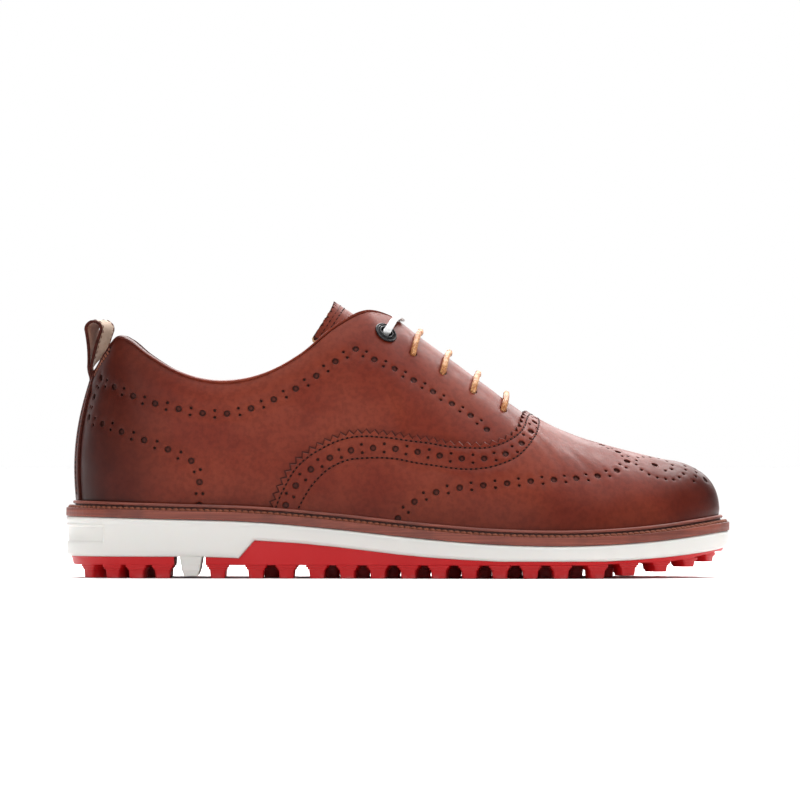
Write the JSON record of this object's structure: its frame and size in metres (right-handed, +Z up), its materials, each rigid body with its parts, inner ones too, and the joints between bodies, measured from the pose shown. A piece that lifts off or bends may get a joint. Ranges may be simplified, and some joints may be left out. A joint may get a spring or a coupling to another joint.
{
  "type": "golf shoe",
  "caption": "Right golf shoe: brown brogued leather oxford on a stitched welt, white midsole and red lugged outsole, with laces, tongue and heel pull loop.",
  "frame": {"origin": "centre of the shoe's box at the level of the lug bottoms", "axes": "+X from heel to toe, +Y towards the inner side of the foot, +Z up"},
  "size_m": [0.2983, 0.1057, 0.1242],
  "materials": {
    "outsole_rubber": "matte moulded rubber",
    "midsole_foam": "matte moulded foam, fine skin",
    "welt_leather": "waxed, grooved edge",
    "welt_thread": "waxed thread",
    "board": "fibre board",
    "cork": "pressed cork",
    "shank_steel": "spring steel",
    "footbed_cover": "soft perforated leather",
    "upper_leather": "smooth calf, burnished at toe and heel",
    "backstay_leather": "smooth calf",
    "loop_leather": "leather outside, suede inside",
    "stiffener": "resin-stiffened canvas",
    "lining_leather": "unfinished pigskin",
    "padding_foam": "open-cell foam",
    "binding_leather": "thin folded leather",
    "backing_tape": "woven tape",
    "tongue_leather": "smooth calf, pinked edge",
    "eyelet_metal": "black enamel",
    "washer_metal": "plain",
    "round_lace": "waxed round cord",
    "flat_lace": "flat woven"
  },
  "bodies": {
    "shoe": {"outsole_heel": "outsole_rubber", "outsole_forefoot": "outsole_rubber", "midsole": "midsole_foam", "welt": "welt_leather", "welt_stitches": "welt_thread", "insole_board": "board", "bottom_filler": "cork", "shank": "shank_steel", "vamp": "upper_leather", "quarter_lateral": "upper_leather", "quarter_medial": "upper_leather", "backstay": "backstay_leather", "heel_counter": "stiffener", "toe_puff": "stiffener", "vamp_lining": "lining_leather", "quarter_lining": "lining_leather", "collar_padding": "padding_foam", "collar_binding": "binding_leather", "facing_backings": "backing_tape", "eyelets": "eyelet_metal", "eyelet_washers": "washer_metal", "lace": "round_lace", "top_lace": "flat_lace"},
    "tongue": {"tongue": "tongue_leather", "tongue_lining": "lining_leather"},
    "footbed": {"footbed": "footbed_cover"},
    "pull_loop": {"pull_loop": "loop_leather"}
  },
  "joints": [
    {"name": "tongue_hinge", "type": "hinge", "parent": "shoe", "child": "tongue", "pos_m": [0.064, 0.0025, 0.0624], "axis": [0, 1, 0], "range_deg": [-12, 0]},
    {"name": "footbed_lift", "type": "hinge", "parent": "shoe", "child": "footbed", "pos_m": [0.136, 0.003, 0.027], "axis": [0, 1, 0], "range_deg": [0, 5]},
    {"name": "pull_loop_flex", "type": "hinge", "parent": "shoe", "child": "pull_loop", "pos_m": [-0.1386, 0.003, 0.0942], "axis": [0, 1, 0], "range_deg": [-25, 20]}
  ]
}
